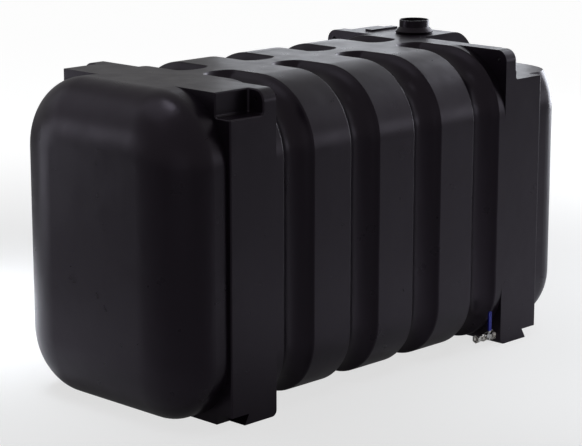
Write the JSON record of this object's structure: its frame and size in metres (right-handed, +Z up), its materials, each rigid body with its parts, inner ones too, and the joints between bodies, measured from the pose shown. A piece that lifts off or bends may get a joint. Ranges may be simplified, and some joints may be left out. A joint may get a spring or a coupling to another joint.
{
  "type": "rainwater tank",
  "caption": "Ribbed black plastic rainwater tank lying on square belts with lifting eyes, with domed ends, an open filler neck and a small lever ball valve at the outlet.",
  "frame": {"origin": "middle of the tank's footprint, on the floor plane that its feet rest on", "axes": "+X along the tank towards the end with the filler neck and the outlet, +Y across it away from the outlet's side, +Z up"},
  "size_m": [2.904, 1.288, 1.675],
  "materials": {
    "tank_plastic": "satin",
    "valve_metal": "nickel plated",
    "lever_steel": "satin",
    "lever_grip": "soft gloss"
  },
  "bodies": {
    "tank": {"near_end_cap": "tank_plastic", "near_belt": "tank_plastic", "near_band": "tank_plastic", "groove_1": "tank_plastic", "rib_1": "tank_plastic", "groove_2": "tank_plastic", "rib_2": "tank_plastic", "groove_3": "tank_plastic", "rib_3": "tank_plastic", "groove_4": "tank_plastic", "far_band": "tank_plastic", "far_belt": "tank_plastic", "far_end_cap": "tank_plastic", "filler_neck": "tank_plastic", "outlet_insert": "valve_metal", "valve_body": "valve_metal", "gland_nut": "valve_metal"},
    "lever": {"valve_ball": "valve_metal", "valve_stem": "valve_metal", "valve_lever": "lever_steel", "lever_sleeve": "lever_grip", "lever_nut": "lever_steel"}
  },
  "joints": [
    {"name": "lever_turn", "type": "hinge", "parent": "tank", "child": "lever", "pos_m": [0.772, -0.594, 0.05], "axis": [0, -1, 0], "range_deg": [0, 90]}
  ]
}
